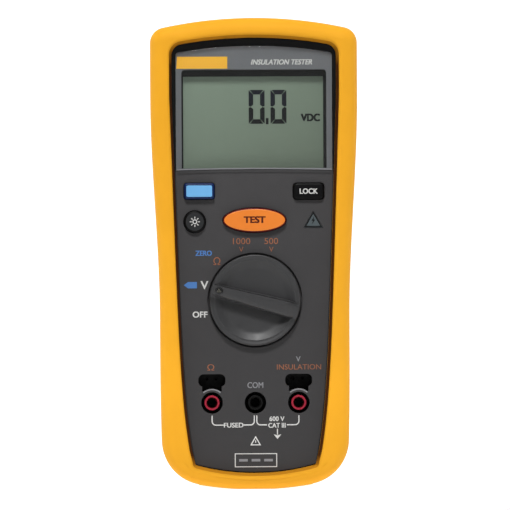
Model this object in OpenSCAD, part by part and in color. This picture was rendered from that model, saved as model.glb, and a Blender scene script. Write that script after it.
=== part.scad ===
// Handheld insulation resistance tester in a moulded holster.
// It stands on the holster's foot: +Z runs up the length, the panel faces -Y, X runs across.

/* [Holster] */
// Depth of the whole tester, front crest to back
body_depth = 50; // [46:1:56]
// Half-width near the top
half_top = 45.5; // [43:0.5:47]
// Half-width near the foot
half_foot = 41.65; // [41.2:0.05:42]
// Wall between the case and the outside
holster_wall = 3; // [2.5:0.1:3.2]
// Height of the flat's arc that forms the crown
crown_z = 207; // [205:0.5:209]
// How far the back opening stands in from the outside
back_inset = 8; // [7:0.5:8.5]

/* [Panel] */
// Height of the rotary switch
knob_z = 83; // [82:0.5:84]
// Outer radius of the switch knob
knob_r = 20; // [18:0.5:20.5]
// Direction of the knob's pointer at rest, anticlockwise from +X
pointer_angle = 165; // [75:30:195]
// Height of the three input jacks
jack_z = 38; // [37:0.5:39]
// Spacing of the input jacks
jack_pitch = 19.05; // [19.05:0.05:19.1]
// Bore of a jack for a 4 mm plug
jack_bore = 4; // [3.9:0.05:4.1]
// Width of the test button
test_w = 27.8; // [24:0.2:30]
// Height of the test button
test_h = 10.7; // [9:0.1:11.5]

/* [Power] */
// Diameter of one battery cell
cell_d = 14.2; // [13.8:0.1:14.3]
// Spacing of the cells
cell_pitch = 15; // [14.6:0.1:15.1]

/* [Stand] */
// Half-width of the tilt stand's frame
stand_half = 32.7; // [32.5:0.1:33]
// Height of the stand's hinge pin
hinge_z = 118; // [116:0.5:119]

/* [Hidden] */
$fn = 64;
slip = 0.3;                        // gap between pieces of different bodies
over = 0.5;                        // overshoot of a cutting shape

// Depth stations, front to back
front_y = -body_depth / 2;         // holster crest
back_y = body_depth / 2;           // holster back
edge_y = -21.5;                    // holster's edge around the panel
panel_y = -20;                     // panel face
case_y = -18.8;                    // case shoulder behind the holster's lip
wall_y = -16.4;                    // inside of the case's front wall
well_y = -17.8;                    // floor of the knob's well
joint_y = 2;                       // joint of the two case halves
board_y = -4;                      // front face of the main board
board_t = 1.6;
floor_y = 3.4;                     // floor of the battery bay, outside
skin_y = 19.8;                     // inside of the case's back wall
rear_y = 21.8;                     // back face of the case
gasket_t = 0.8;

// Outline of the holster
foot_r = 145;                      // radius of the foot's arc
foot_flat = 8;                     // half-width of the flat that it stands on
foot_corner = 20;
foot_corner_x = 21.2;
foot_corner_z = 21.8;
crown_r = 190;
crown_corner = 7;
crown_corner_x = 38.5;
taper_z = [75, 173];               // the sides spread between these heights
case_inset = holster_wall + 0.3;
case_wall = 2.2;

// Opening around the panel
open_half = 36.1;
open_z = [11.6, 172];
open_slope = 0.034;                // how fast its sides draw in below the upper height
open_curl = 4.6;                   // how much further they curl in at the foot
open_foot_r = 99;
open_foot_z = 7.15;
open_corner = 5;
open_crown_r = crown_r - 8.8;

// Display
lens_half = 34.3;
lens_z = [140, 194.6];
lens_crown_r = 196;
window_half = 31.8;
window_z = [140.9, 184.2];
glass_y = -16.2;

// Keys, each with its middle and its size
shift_at = [-24.2, 130.9];
shift_size = [13.3, 7];
lock_at = [23.8, 130.7];
lock_size = [13.5, 7.1];
light_at = [-26.2, 117.5];
light_r = 4.75;
test_at = [0, 118.1];
stem_y = board_y - 3.6;            // back end of every key's stem

// Battery bay and door
bay_half = 27.5;
bay_z = [30, 104];
bay_wall = 1.8;
door_half = 28.6;
door_z = [28.9, 105.1];
cell_y = 12.6;
cell_z0 = 38.5;
cell_len = 49.5;
nub_len = 1;
plate_t = 0.4;
lock_x = 21.5;
lock_z = 98;
fuse_z = 98;
fuse_y = 9;

// Stand
hinge_y = 22.3;
pin_r = 1;
knuckle_r = 2.6;
knuckle_half = 30.7;
stand_y = [rear_y + slip, 24.9];

screw_spots = [[-24, 14.5], [24, 14.5], [-33, 190], [33, 190]];
board_spots = [[-31, 60], [31, 60], [-33, 110], [33, 110]];

// Colours
amber = [0.97, 0.66, 0.12];
charcoal = [0.25, 0.25, 0.26];
ink = [0.06, 0.06, 0.07];
steel = [0.72, 0.73, 0.75];
gold = [0.80, 0.63, 0.30];

// ---------- Outlines, as points [x, z] from the foot's middle anticlockwise ----------

function mirrored(half) = concat(half,
    [for (i = [len(half) - 1:-1:0]) if (half[i][0] > 0.001) [-half[i][0], half[i][1]]]);

function arc(x, z, r, a0, a1, steps) =
    [for (i = [0:steps]) let (a = a0 + (a1 - a0) * i / steps) [x + r * cos(a), z + r * sin(a)]];

function ease(t) = t * t * (3 - 2 * t);

function half_width(z) = half_foot - 0.45 * pow(max(0, 60 - z) / 38.2, 2) + (half_top - half_foot)
    * ease(min(1, max(0, (z - taper_z[0]) / (taper_z[1] - taper_z[0]))));

// Holster outline, drawn in by d all round
foot_drop = foot_r - sqrt(foot_r * foot_r - foot_flat * foot_flat);
foot_turn = asin(foot_corner_x / (foot_r - foot_corner));
crown_turn = asin(crown_corner_x / (crown_r - crown_corner));
crown_corner_z = crown_z - crown_r + (crown_r - crown_corner) * cos(crown_turn);
function holster_outline(d) = mirrored(concat(
    arc(0, foot_r - foot_drop, foot_r - d, -90, -90 + foot_turn, 5),
    arc(foot_corner_x, foot_corner_z, foot_corner - d, -78, 0, 6),
    [for (z = [34, 47, 60, 71, 82, 93, 104, 115, 126, 137, 148, 162, 179])
        [half_width(z) - d, z]],
    arc(half_top - crown_corner, crown_corner_z, crown_corner - d, 0, 90 - crown_turn - 2, 5),
    arc(0, crown_z - crown_r, crown_r - d, 90 - crown_turn, 90, 6)));

// Edge of the holster around the panel
open_turn = asin((open_half - open_corner) / (open_crown_r - open_corner));
open_corner_z = crown_z - crown_r + (open_crown_r - open_corner) * cos(open_turn);
function open_side(z) = open_half - open_slope * (open_z[1] - z)
    - open_curl * pow((open_z[1] - z) / 165, 7);
open_outline = mirrored(concat(
    [for (i = [0:4]) let (x = open_side(open_z[0]) * i / 4)
        [x, open_foot_z + open_foot_r - sqrt(open_foot_r * open_foot_r - x * x)]],
    [for (z = [open_z[0] + 14:14:open_z[1]]) [open_side(z), z]],
    arc(open_half - open_corner, open_corner_z, open_corner, 0, 90 - open_turn, 5),
    arc(0, crown_z - crown_r, open_crown_r, 90 - open_turn + 2, 90, 4)));

lens_top = [for (i = [0:8]) let (x = lens_half * (1 - i / 4))
    [x, lens_z[1] - lens_crown_r + sqrt(lens_crown_r * lens_crown_r - x * x)]];
lens_outline = concat([[-lens_half, lens_z[0]], [0, lens_z[0] + 0.5], [lens_half, lens_z[0]]], lens_top);

// ---------- Helpers that place shapes in the upright frame ----------

// Plan shape in x and z, from y0 to y1
module slab(y0, y1) {
    translate([0, y1, 0]) rotate([90, 0, 0]) linear_extrude(y1 - y0) children();
}

// Cylinder along y
module rod(x, z, y0, y1, r) {
    translate([x, y1, z]) rotate([90, 0, 0]) cylinder(r = r, h = y1 - y0);
}

// Cylinder along x
module bar(y, z, x0, x1, r) {
    translate([x0, y, z]) rotate([0, 90, 0]) cylinder(r = r, h = x1 - x0);
}

// Box centred on x and z, from y0 to y1
module brick(x, z, y0, y1, w, h) {
    translate([x - w / 2, y0, z - h / 2]) cube([w, y1 - y0, h]);
}

// Plan rectangle with round corners
module pill(x, z, w, h, r) {
    translate([x, z]) offset(r = r, $fn = 32) square([w - 2 * r, h - 2 * r], center = true);
}

// Plan ellipse
module oval(x, z, w, h) {
    polygon([for (a = [0:7.5:352.5]) [x + w / 2 * cos(a), z + h / 2 * sin(a)]]);
}

module holster_plan(d) { offset(delta = -d) polygon(holster_outline(0)); }
module case_plan(d) { polygon(holster_outline(case_inset + d)); }
module door_plan(d) {
    translate([0, (door_z[0] + door_z[1]) / 2])
        offset(r = 2 + d, $fn = 32) square([2 * door_half - 4, door_z[1] - door_z[0] - 4], center = true);
}

// ---------- Holster ----------

// The outer skin, as rings of [inset, y] joined by facets
skin_rings = [[6, front_y], [3.2, front_y + 0.7], [1.3, front_y + 2.2], [0.3, front_y + 4.4],
    [0, front_y + 7], [0, back_y - 7], [0.3, back_y - 4.4], [1.3, back_y - 2.2],
    [3.2, back_y - 0.7], [6, back_y]];

module skin() {
    count = len(holster_outline(0));
    last = len(skin_rings) - 1;
    points = [for (ring = skin_rings) for (p = holster_outline(ring[0])) [p[0], ring[1], p[1]]];
    sides = [for (k = [0:last - 1]) for (i = [0:count - 1]) let (j = (i + 1) % count)
        each [[k * count + i, (k + 1) * count + i, (k + 1) * count + j],
              [k * count + i, (k + 1) * count + j, k * count + j]]];
    front = [[for (i = [0:count - 1]) i]];
    back = [[for (i = [count - 1:-1:0]) last * count + i]];
    polyhedron(points, concat(front, sides, back));
}

module holster() color(amber) difference() {
    skin();
    translate([-100, -100, -10]) cube([200, 200, 10]);
    slab(case_y - 0.2, rear_y + 0.2) case_plan(-0.3);
    slab(front_y - over, case_y) polygon(open_outline);
    hull() {
        slab(edge_y, edge_y + 0.1) polygon(open_outline);
        slab(front_y - 0.1, front_y) offset(delta = 1) polygon(open_outline);
    }
    slab(rear_y, back_y + over) holster_plan(back_inset);
}

// ---------- Case ----------

module key_hole(at, size, r) {
    pill(at[0], at[1], size[0] + 2 * slip, size[1] + 2 * slip, r);
}

// Pocket for a probe plug, over an outer jack
module socket_plan(grow) offset(delta = grow) difference() {
    union() {
        pill(0, 47.8, 11.9, 5.6, 2.4);
        translate([-4.3, 43]) square([8.6, 5]);
    }
    translate([0, jack_z]) circle(6.2);
}

warning_spot = [25.8, 118.3];
module warning_plan(grow) {
    translate(warning_spot) offset(delta = grow) polygon([[-4, -3.4], [4, -3.4], [0, 3.5]]);
}

module front_case() color(charcoal) difference() {
    union() {
        difference() {
            slab(case_y, joint_y - gasket_t / 2) case_plan(0);
            slab(wall_y, joint_y + over) case_plan(case_wall);
        }
        slab(panel_y, case_y + 0.2) offset(delta = -0.5) polygon(open_outline);
        rod(0, knob_z, wall_y - 0.2, wall_y + 0.8, knob_r + 2.4);
        for (s = screw_spots) rod(s[0], s[1], wall_y - 0.2, joint_y - 0.4, 3.2);
        for (s = board_spots) rod(s[0], s[1], wall_y - 0.2, board_y, 2.6);
    }
    rod(0, knob_z, panel_y - over, well_y, knob_r + 0.85);
    rod(0, knob_z, well_y - over, wall_y + 2, 6.05);
    slab(panel_y - over, wall_y + over) {
        translate([-window_half, window_z[0]]) square([2 * window_half, window_z[1] - window_z[0]]);
        key_hole(shift_at, shift_size, 1.6);
        key_hole(lock_at, lock_size, 1.8);
        oval(test_at[0], test_at[1], test_w + 2 * slip, test_h + 2 * slip);
        warning_plan(0.15);
        for (s = [-1, 1]) translate([s * jack_pitch, 0]) socket_plan(0);
    }
    rod(light_at[0], light_at[1], panel_y - over, wall_y + over, light_r + slip);
    for (i = [-1:1]) rod(i * jack_pitch, jack_z, panel_y - over, wall_y + over, 4.75);
    for (s = screw_spots) rod(s[0], s[1], -10, joint_y + over, 1.25);
    for (s = board_spots) rod(s[0], s[1], -12, board_y + over, 0.9);
}

module lock_pocket(side) {
    brick(side * (bay_half + 0.7), lock_z - 3, 16.7, skin_y + 0.1, 1.5, 11);
}

module rear_case() color(charcoal) difference() {
    union() {
        difference() {
            slab(joint_y + gasket_t / 2, rear_y) case_plan(0);
            slab(joint_y - over, skin_y) case_plan(case_wall);
        }
        // Battery bay
        brick(0, (bay_z[0] + bay_z[1]) / 2, floor_y, skin_y + 0.1,
            2 * (bay_half + bay_wall), bay_z[1] - bay_z[0] + 2 * bay_wall);
        // Screw pillars
        for (s = screw_spots) rod(s[0], s[1], joint_y + gasket_t / 2, skin_y + 0.1, 3.4);
        // Trough behind the stand's hinge
        brick(0, hinge_z, 17.8, skin_y + 0.1, 72, 9);
        for (s = [-1, 1])
            bar(hinge_y, hinge_z, s * 32.8 - 1.8, s * 32.8 + 1.8, knuckle_r);
    }
    brick(0, (bay_z[0] + bay_z[1]) / 2, floor_y + 1.6, rear_y + over,
        2 * bay_half, bay_z[1] - bay_z[0]);
    slab(skin_y, rear_y + over) door_plan(0.25);
    brick(0, fuse_z, floor_y - over, floor_y + 2, 40, 10);
    for (s = [-1, 1]) lock_pocket(s);
    for (s = screw_spots) {
        rod(s[0], s[1], joint_y - over, rear_y + over, 1.6);
        rod(s[0], s[1], 16, rear_y + over, 3.1);
    }
    bar(hinge_y, hinge_z, -knuckle_half - slip, knuckle_half + slip, knuckle_r + 0.3);
    bar(hinge_y, hinge_z, -36, 36, pin_r);
}

module case_gasket() color(ink) difference() {
    slab(joint_y - gasket_t / 2, joint_y + gasket_t / 2) case_plan(0.3);
    slab(joint_y - 1, joint_y + 1) case_plan(case_wall - 0.3);
}

module case_screws() color(steel) for (s = screw_spots) {
    difference() {
        rod(s[0], s[1], 16, 18.2, 2.8);
        brick(s[0], s[1], 17.2, 19, 3.6, 0.8);
        brick(s[0], s[1], 17.2, 19, 0.8, 3.6);
    }
    rod(s[0], s[1], -8, 16.1, 1.25);
}

// ---------- Display ----------

module lens() color([0.75, 0.80, 0.80, 0.35])
    slab(-21.3, -20.25) polygon(lens_outline);

module lens_mask() color([0.40, 0.40, 0.41]) difference() {
    slab(-20.25, panel_y) polygon(lens_outline);
    brick(0, (window_z[0] + window_z[1]) / 2, -21, panel_y + 1,
        2 * window_half, window_z[1] - window_z[0]);
}

module lcd_glass() color([0.47, 0.52, 0.46])
    brick(0, 162.2, glass_y, glass_y + 2.2, 66, 43.2);

module lcd_frame() color(charcoal) difference() {
    brick(0, 162.2, glass_y, board_y, 69, 46.4);
    brick(0, 162.2, glass_y - over, board_y + over, 66.2, 43.4);
}

module backlight_panel() color([0.90, 0.93, 0.85])
    brick(0, 162, glass_y + 2.2, glass_y + 5.2, 60, 32);

module zebra_strips() color([0.85, 0.55, 0.60])
    for (z = [142.6, 181.4]) brick(0, z, glass_y + 2.2, board_y, 58, 2.4);

// ---------- Buttons ----------

module keypad_mat() color([0.30, 0.30, 0.32]) union() {
    brick(0, 123.5, board_y - 1.4, board_y, 58, 23);
    for (p = [shift_at, lock_at, light_at, test_at])
        rod(p[0], p[1], board_y - 2.4, board_y - 1.3, 3);
}

// Cap with a stepped top, a flange behind the panel and a stem to the mat
module cap(at, size, r, bevel, proud) {
    slab(panel_y - proud, panel_y - 0.2)
        pill(at[0], at[1], size[0] - bevel, size[1] - bevel, max(0.4, r - bevel / 2));
    slab(panel_y - proud + 0.5, wall_y + 0.3) pill(at[0], at[1], size[0], size[1], r);
    slab(wall_y + 0.2, wall_y + 1.2) pill(at[0], at[1], size[0] + 1.6, size[1] + 1.6, r);
    rod(at[0], at[1], wall_y + 1, stem_y, 2.2);
}

module shift_button() color([0.42, 0.68, 0.88]) cap(shift_at, shift_size, 1.3, 1.4, 2);
module lock_button() color([0.18, 0.18, 0.19]) cap(lock_at, lock_size, 1.5, 1, 1.6);
// Round cap with the same build, turned
module backlight_button() color([0.18, 0.18, 0.19])
    translate([light_at[0], 0, light_at[1]]) rotate([90, 0, 0]) rotate_extrude()
        polygon([[0, -stem_y], [2.2, -stem_y], [2.2, -1.2 - wall_y], [light_r + 0.75, -1.2 - wall_y],
            [light_r + 0.75, -0.2 - wall_y], [light_r, -0.2 - wall_y], [light_r, 1.2 - panel_y],
            [light_r - 0.5, 1.6 - panel_y], [0, 1.6 - panel_y]]);
module test_button() color([0.98, 0.55, 0.20]) {
    slab(panel_y - 2, panel_y) oval(test_at[0], test_at[1], test_w - 1.6, test_h - 1.6);
    slab(panel_y - 1.5, wall_y + 0.3) oval(test_at[0], test_at[1], test_w, test_h);
    slab(wall_y + 0.2, wall_y + 1.2) oval(test_at[0], test_at[1], test_w + 2, test_h + 2);
    rod(test_at[0], test_at[1], wall_y + 1, stem_y, 2.2);
}

// ---------- Rotary switch ----------

rotor_y = [-8, -5.8];
knob_face = 21.6;                  // distance of the rim's shoulder in front of the frame's origin

module knob() color([0.23, 0.23, 0.24]) translate([0, 0, knob_z]) rotate([90, 0, 0]) {
    rotate_extrude() polygon([[0, -rotor_y[1]], [6, -rotor_y[1]], [6, 18.1], [knob_r, 18.1],
        [knob_r, knob_face], [knob_r - 0.6, knob_face + 1], [knob_r - 1.5, knob_face + 1],
        [16.6, 21.8], [14.4, 20.8], [12, 20.4], [0, 20.4]]);
    rotate(pointer_angle) translate([0, 0, 20]) {
        linear_extrude(4.2) polygon([[-knob_r + 0.6, -3.15], [0, -3.1], [knob_r - 0.6, -2.25],
            [knob_r - 0.6, 2.25], [0, 3.1], [-knob_r + 0.6, 3.15]]);
        linear_extrude(4.8) polygon([[-knob_r + 1.6, -2.5], [0, -2.45], [knob_r - 1.6, -1.6],
            [knob_r - 1.6, 1.6], [0, 2.45], [-knob_r + 1.6, 2.5]]);
    }
}

module knob_marker() color([0.80, 0.80, 0.78])
    translate([0, 0, knob_z]) rotate([90, 0, 0]) rotate(pointer_angle)
        translate([knob_r - 4.6, 0, 24.8]) linear_extrude(0.15)
            polygon([[0, -1.2], [2.6, 0], [0, 1.2]]);

module switch_rotor() color([0.88, 0.86, 0.80]) difference() {
    rod(0, knob_z, rotor_y[0], rotor_y[1], 15);
    rod(0, knob_z, rotor_y[0] - over, rotor_y[1] + over, 6);
    for (a = [0:30:330])
        rod(15.6 * cos(a), knob_z + 15.6 * sin(a), rotor_y[0] - over, rotor_y[1] + over, 1.4);
}

module rotor_wipers() color(gold) translate([0, 0, knob_z]) for (a = [0, 120, 240])
    rotate([0, a, 0]) translate([8, rotor_y[1], -1.5]) {
        cube([5, 0.3, 3]);
        translate([1, 0.2, 0.9]) cube([3, 1.3, 1.2]);
    }

module detent_spring() color(steel) union() {
    brick(0, knob_z + 17.6, rotor_y[0], rotor_y[1], 22, 0.5);
    rod(0, knob_z + 16.7, rotor_y[0], rotor_y[1], 1.1);
    for (s = [-1, 1]) brick(s * 10.5, knob_z + 17.6, rotor_y[1] - 0.1, board_y, 1, 0.5);
}

// ---------- Inputs ----------

insulator_y = -19.6;
input_back = -4.2;
well_back = -5.5;

module input_block() color(ink) difference() {
    brick(0, 40, wall_y, input_back, 54, 26);
    for (i = [-1:1]) rod(i * jack_pitch, jack_z, wall_y - over, well_back, 4.75);
    for (s = [-1, 1]) slab(wall_y - over, -7) translate([s * jack_pitch, 0]) socket_plan(0.01);
}

module jack_insulator(i, tint) color(tint) difference() {
    rod(i * jack_pitch, jack_z, insulator_y, well_back, 3.3);
    rod(i * jack_pitch, jack_z, insulator_y - over, well_back + over, jack_bore / 2);
    rod(i * jack_pitch, jack_z, insulator_y + 1.2, well_back + over, 2.6);
}

module jack_insulator_left() jack_insulator(-1, [0.55, 0.12, 0.16]);
module jack_insulator_com() jack_insulator(0, ink);
module jack_insulator_right() jack_insulator(1, [0.55, 0.12, 0.16]);

module jack_sleeves() color(gold) for (i = [-1:1]) difference() {
    rod(i * jack_pitch, jack_z, insulator_y + 1.2, well_back, 2.6);
    rod(i * jack_pitch, jack_z, insulator_y, well_back + over, jack_bore / 2);
}

module probe_socket_pins() color(gold) for (s = [-1, 1]) for (k = [-1, 1])
    rod(s * jack_pitch + k * 1.95, 48, -10, -7, 0.5);

module warning_lens() color([0.35, 0.43, 0.50]) union() {
    slab(-20.3, wall_y + 0.1) warning_plan(0);
    slab(wall_y, wall_y + 1) warning_plan(1);
}

module warning_led() color([0.85, 0.25, 0.20]) union() {
    rod(warning_spot[0], warning_spot[1], -13, board_y - 1.4, 1.5);
    rod(warning_spot[0], warning_spot[1], board_y - 2.4, board_y - 1.4, 1.9);
}

// ---------- Board and what stands on it ----------

module main_board() color([0.12, 0.38, 0.22]) difference() {
    slab(board_y, board_y + board_t) case_plan(case_wall + 0.8);
    for (s = screw_spots) rod(s[0], s[1], board_y - over, board_y + 2, 4.2);
    for (s = board_spots) rod(s[0], s[1], board_y - over, board_y + 2, 1.1);
}

module board_screws() color(steel) for (s = board_spots) union() {
    rod(s[0], s[1], board_y + board_t, board_y + board_t + 1.4, 2);
    rod(s[0], s[1], -10, board_y + board_t + 0.1, 0.9);
}

board_back = board_y + board_t;

module transformer_core() color([0.20, 0.20, 0.21]) difference() {
    brick(-17, 134, board_back, board_back + 15, 20, 24);
    brick(-17, 134, board_back + 3, board_back + 12, 21, 16);
}

module transformer_winding() color([0.75, 0.40, 0.18])
    brick(-17, 134, board_back + 3, board_back + 12, 19, 16);

module hv_capacitors() color([0.15, 0.25, 0.50])
    for (k = [0:3]) rod(2 + 9.5 * k, 156, board_back, board_back + 13, 4.2);

module relays() color([0.92, 0.92, 0.90])
    for (z = [118, 134]) brick(14, z, board_back, board_back + 10, 20, 12);

module main_chips() color(ink) {
    brick(0, 88, board_back, board_back + 1.6, 14, 14);
    brick(-14, 60, board_back, board_back + 1.4, 8, 6);
    brick(14, 60, board_back, board_back + 1.4, 8, 6);
}

module buzzer() color(ink) difference() {
    rod(-20, 160, board_back, board_back + 7, 6);
    rod(-20, 160, board_back + 6, board_back + 8, 1);
}

fuse_r = 3.15;
module fuse_body() color([0.88, 0.88, 0.84]) bar(fuse_y, fuse_z, -11, 11, fuse_r - 0.1);
module fuse_caps() color(steel) {
    bar(fuse_y, fuse_z, -16, -11, fuse_r);
    bar(fuse_y, fuse_z, 11, 16, fuse_r);
}
module fuse_clips() color(gold) for (s = [-1, 1]) difference() {
    brick(s * 13.5, fuse_z, board_back, fuse_y + 1.5, 4, 2 * fuse_r + 1);
    bar(fuse_y, fuse_z, s * 13.5 - 3, s * 13.5 + 3, fuse_r);
    brick(s * 13.5, fuse_z, board_back + 1, fuse_y - fuse_r - 0.6, 5, 2 * fuse_r - 0.4);
}

// ---------- Batteries ----------

cell_far = bay_half - plate_t;     // a cell's nub reaches this plate
function cell_side(k) = k % 2 == 0 ? 1 : -1;
function cell_at(k) = cell_z0 + k * cell_pitch;

module battery_cells() color([0.20, 0.22, 0.28]) for (k = [0:3])
    scale_side(cell_side(k))
        bar(cell_y, cell_at(k), cell_far - nub_len - cell_len, cell_far - nub_len, cell_d / 2);

module cell_terminals() color(steel) for (k = [0:3])
    scale_side(cell_side(k))
        bar(cell_y, cell_at(k), cell_far - nub_len, cell_far, 2.7);

module scale_side(side) { mirror([side < 0 ? 1 : 0, 0, 0]) children(); }

// Conical coil between a plate and a cell
coil_wire = 0.35;
coil_gap = 2 * cell_far - cell_len - nub_len;
function coil_ring(i, count, turns) = let (t = i / count, a = 360 * turns * t, r = 4.6 - 1.8 * t)
    [for (k = [0:5]) let (b = 60 * k)
        [coil_wire + (coil_gap - 2 * coil_wire) * t + coil_wire * sin(b),
         (r + coil_wire * cos(b)) * cos(a), (r + coil_wire * cos(b)) * sin(a)]];
module coil() {
    turns = 3;
    count = 36;
    points = [for (i = [0:count]) each coil_ring(i, count, turns)];
    sides = [for (i = [0:count - 1]) for (k = [0:5]) let (n = (k + 1) % 6)
        each [[i * 6 + k, i * 6 + n, i * 6 + 6 + n], [i * 6 + k, i * 6 + 6 + n, i * 6 + 6 + k]]];
    polyhedron(points, concat([[5, 4, 3, 2, 1, 0]], sides, [[for (k = [0:5]) count * 6 + k]]));
}

module battery_springs() color(steel) for (k = [0:3])
    scale_side(cell_side(k)) translate([-cell_far, cell_y, cell_at(k)]) coil();

module battery_contact_plates() color(steel) for (s = [-1, 1]) for (k = [0:3])
    brick(s * (bay_half - plate_t / 2), cell_at(k), 6.5, 18.5, plate_t, 12);

module battery_door() color(charcoal) difference() {
    slab(skin_y + 0.1, rear_y) door_plan(-0.1);
    for (s = [-1, 1]) rod(s * lock_x, lock_z, skin_y - over, rear_y + over, 2.05);
    for (s = [-1, 1]) rod(s * lock_x, lock_z, rear_y - 1, rear_y + over, 4.05);
    for (k = [0:4]) brick(0, 36 + 3 * k, rear_y - 0.5, rear_y + over, 24, 1.2);
}

module door_seal() color(ink) difference() {
    slab(skin_y - 0.5, skin_y + 0.1) offset(delta = -1.2) door_plan(0);
    slab(skin_y - 1, skin_y + 1) offset(delta = -2.2) door_plan(0);
}

// Quarter-turn screw: slotted head, shaft through the door and a cam behind it
module door_lock(side) color(steel) difference() {
    union() {
        rod(side * lock_x, lock_z, rear_y - 0.95, rear_y - 0.1, 4);
        rod(side * lock_x, lock_z, 17, rear_y - 0.9, 2);
        brick(side * (lock_x + 3.2), lock_z, 17, 18.8, 7.4, 3.6);
    }
    brick(side * lock_x, lock_z, rear_y - 0.6, rear_y + over, 1.2, 6.4);
}
module door_lock_left() door_lock(-1);
module door_lock_right() door_lock(1);

// ---------- Stand ----------

module tilt_stand() color(charcoal) difference() {
    union() {
        difference() {
            slab(stand_y[0], stand_y[1]) {
                translate([-stand_half, 20]) offset(r = 4, $fn = 32) translate([4, 4])
                    square([2 * stand_half - 8, 86]);
                translate([-knuckle_half, 100]) square([2 * knuckle_half, hinge_z - 100]);
            }
            slab(stand_y[0] - over, stand_y[1] + over) translate([0, 68])
                offset(r = 3, $fn = 32) square([52, 77], center = true);
        }
        bar(hinge_y, hinge_z, -knuckle_half, knuckle_half, knuckle_r);
    }
    bar(hinge_y, hinge_z, -knuckle_half - over, knuckle_half + over, pin_r + 0.05);
    brick(0, hinge_z, hinge_y - 4, hinge_y + 4, 20, 2 * knuckle_r + 0.4);
}

module stand_pin() color(steel) bar(hinge_y, hinge_z, -34.6, 34.6, pin_r);

module stand_foot_pads() color(ink) for (s = [-1, 1])
    brick(s * 18, 19.4, stand_y[0] + 0.4, stand_y[1] - 0.4, 14, 1.2);

module rating_label() color([0.85, 0.85, 0.83]) slab(rear_y, rear_y + 0.15)
    pill(0, 150, 52, 34, 2);

holster();
front_case();
rear_case();
case_gasket();
case_screws();
lens();
lens_mask();
lcd_glass();
lcd_frame();
backlight_panel();
zebra_strips();
keypad_mat();
shift_button();
lock_button();
backlight_button();
test_button();
knob();
knob_marker();
switch_rotor();
rotor_wipers();
detent_spring();
input_block();
jack_insulator_left();
jack_insulator_com();
jack_insulator_right();
jack_sleeves();
probe_socket_pins();
warning_lens();
warning_led();
main_board();
board_screws();
transformer_core();
transformer_winding();
hv_capacitors();
relays();
main_chips();
buzzer();
fuse_body();
fuse_caps();
fuse_clips();
battery_cells();
cell_terminals();
battery_springs();
battery_contact_plates();
battery_door();
door_seal();
door_lock_left();
door_lock_right();
tilt_stand();
stand_pin();
stand_foot_pads();
rating_label();
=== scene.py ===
"""Looks of the insulation resistance tester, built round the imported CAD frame."""

import math

import bmesh
import bpy
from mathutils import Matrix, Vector


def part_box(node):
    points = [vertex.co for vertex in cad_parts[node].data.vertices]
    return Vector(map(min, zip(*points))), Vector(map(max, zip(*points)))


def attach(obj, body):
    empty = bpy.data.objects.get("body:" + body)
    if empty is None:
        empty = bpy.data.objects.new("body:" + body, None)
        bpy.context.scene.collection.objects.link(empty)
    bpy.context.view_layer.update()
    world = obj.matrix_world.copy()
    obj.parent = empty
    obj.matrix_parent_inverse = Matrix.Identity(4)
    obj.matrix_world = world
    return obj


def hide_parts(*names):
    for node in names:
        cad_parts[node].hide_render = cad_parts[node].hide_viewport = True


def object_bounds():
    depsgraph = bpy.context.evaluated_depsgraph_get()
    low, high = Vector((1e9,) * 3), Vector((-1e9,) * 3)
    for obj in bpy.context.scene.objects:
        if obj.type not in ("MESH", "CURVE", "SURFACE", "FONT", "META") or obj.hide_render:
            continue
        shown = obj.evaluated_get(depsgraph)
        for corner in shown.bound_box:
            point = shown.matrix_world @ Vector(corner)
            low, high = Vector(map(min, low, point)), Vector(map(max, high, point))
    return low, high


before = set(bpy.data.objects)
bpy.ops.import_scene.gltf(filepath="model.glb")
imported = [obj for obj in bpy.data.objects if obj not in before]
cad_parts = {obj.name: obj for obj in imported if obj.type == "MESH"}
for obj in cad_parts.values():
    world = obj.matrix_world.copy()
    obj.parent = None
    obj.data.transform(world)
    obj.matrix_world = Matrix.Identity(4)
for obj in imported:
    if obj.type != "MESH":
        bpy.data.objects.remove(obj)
cad_low, cad_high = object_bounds()
MM = 0.001


def box_mm(node):
    """Lowest and highest corner of a CAD node, in millimetres."""
    low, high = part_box(node)
    return [value / MM for value in low], [value / MM for value in high]


# ---------------------------------------------------------------- design, in millimetres

# Holster outline
CROWN_Z = cad_high[2] / MM
CROWN_R = 190.0
CROWN_CORNER = 7.0
CROWN_CORNER_X = 38.5
HALF_TOP = 45.5
HALF_FOOT = 41.65
TAPER_Z = (75.0, 173.0)
FOOT_DRAW = 0.45
FOOT_DRAW_Z = 60.0
FOOT_DRAW_SPAN = 38.2
FOOT_R = 145.0
FOOT_FLAT_HALF = 8.0
FOOT_DROP = FOOT_R - math.sqrt(FOOT_R**2 - FOOT_FLAT_HALF**2)
FOOT_CORNER = 20.0
FOOT_CORNER_AT = (21.2, 21.8)
HALF_DEPTH = cad_high[1] / MM
SIDE_ROUND = 6.0
SIDE_ROUND_DEPTH = 7.0
WALL = 8.0
CAVITY_INSET = 3.02

# Opening in the holster's front
OPEN_HALF = 36.1
OPEN_TOP_Z = 172.0
OPEN_LOW_Z = 11.6
OPEN_SLOPE = 0.034
OPEN_CURL = 4.6
OPEN_CURL_SPAN = 165.0
OPEN_CURL_POWER = 7
OPEN_FOOT_R = 99.0
OPEN_FOOT_Z = 7.15
OPEN_CORNER = 5.0
OPEN_CROWN_R = CROWN_R - 8.8

# Depths
PANEL_Y = -20.0
EDGE_Y = -21.5
LIP_Y = -18.9
REAR_Y = 22.05

# Places on the panel
KNOB_Z = 83.0
KNOB_R = 20.0
POINTER = math.radians(165)
JACK_Z = 38.0
JACK_PITCH = 19.05
SHIFT_AT = (-24.2, 130.9)
LOCK_AT = (23.8, 130.7)
LIGHT_AT = (-26.2, 117.5)
TEST_AT = (0.0, 118.1)


# ---------------------------------------------------------------- materials

STUDIO = 0.93  # what a white surface that faces the camera shows
DARKEST = 0.0025


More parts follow.
